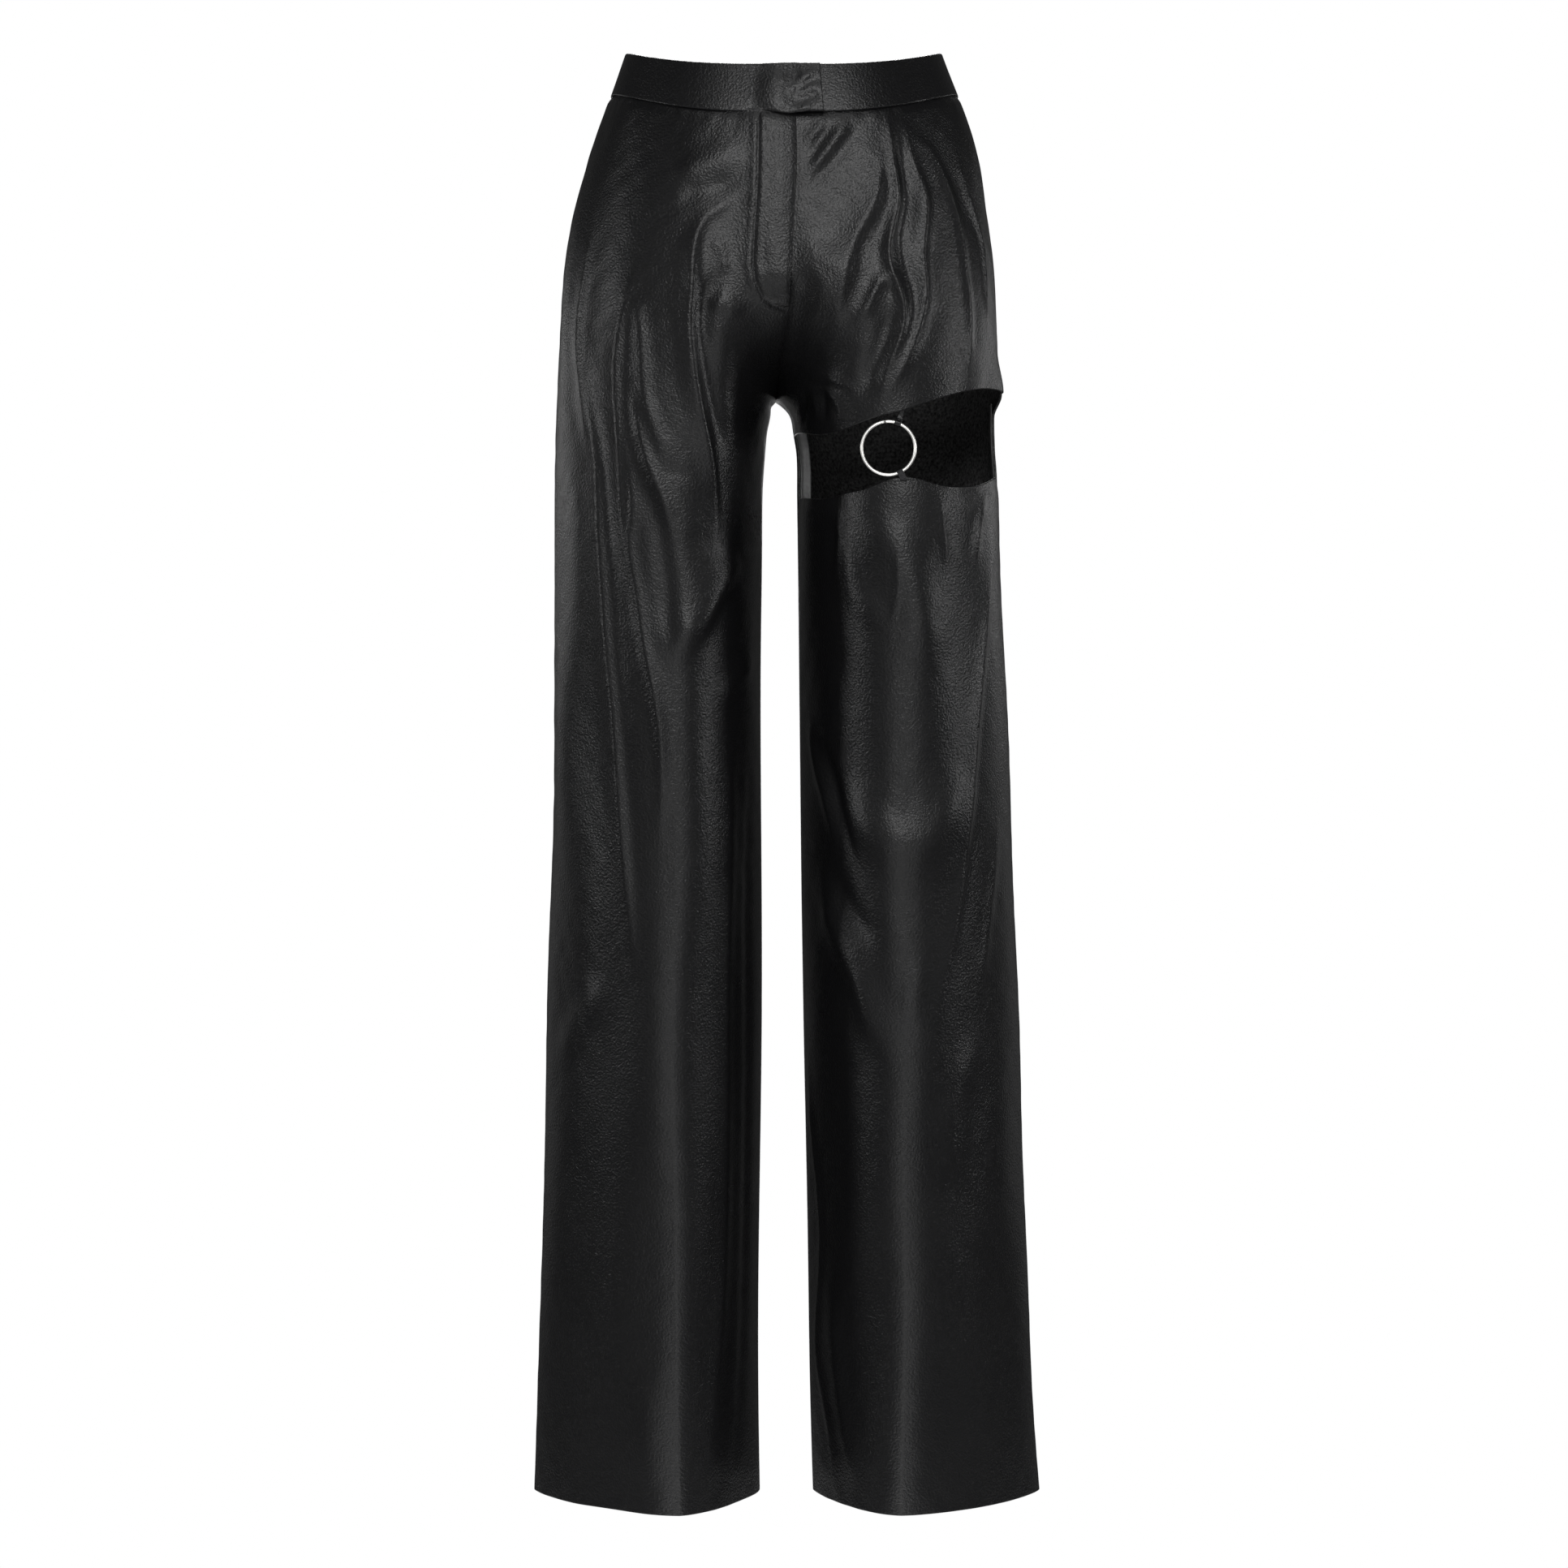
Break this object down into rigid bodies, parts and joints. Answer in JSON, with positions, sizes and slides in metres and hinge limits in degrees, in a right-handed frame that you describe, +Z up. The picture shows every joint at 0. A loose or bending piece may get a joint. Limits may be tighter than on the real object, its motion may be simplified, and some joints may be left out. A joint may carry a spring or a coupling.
{
  "type": "leather trousers",
  "caption": "High-waisted wide-leg trousers in black leather with a fly flap, a tabbed waistband, an open slash across the left thigh and a metal ring that joins its edges.",
  "frame": {"origin": "middle of the waist, level with the middle of the waistband at the side seams", "axes": "+Z up along the legs towards the waist, -Y to the front, +X to the wearer's left"},
  "size_m": [0.3866, 0.2401, 1.0989],
  "materials": {
    "leather": "soft satin black grain with a black knit backing",
    "zip_tape": "woven tape with black coil teeth",
    "metal": "polished silver",
    "thread": "black sewing thread"
  },
  "bodies": {
    "trousers": {"waistband_right": "leather", "waistband_left": "leather", "right_front": "leather", "right_back": "leather", "left_front_upper": "leather", "left_front_lower": "leather", "left_back": "leather", "inseam_allowance": "leather", "outseam_allowance": "leather", "fly_zip": "zip_tape", "zip_slider": "metal", "ring_keeper_upper": "leather", "ring_keeper_lower": "thread"},
    "ring": {"thigh_ring": "metal"}
  },
  "joints": [
    {"name": "ring_turn", "type": "hinge", "parent": "trousers", "child": "ring", "pos_m": [0.0767, -0.101, -0.2933], "axis": [0, 1, 0], "continuous": true}
  ]
}
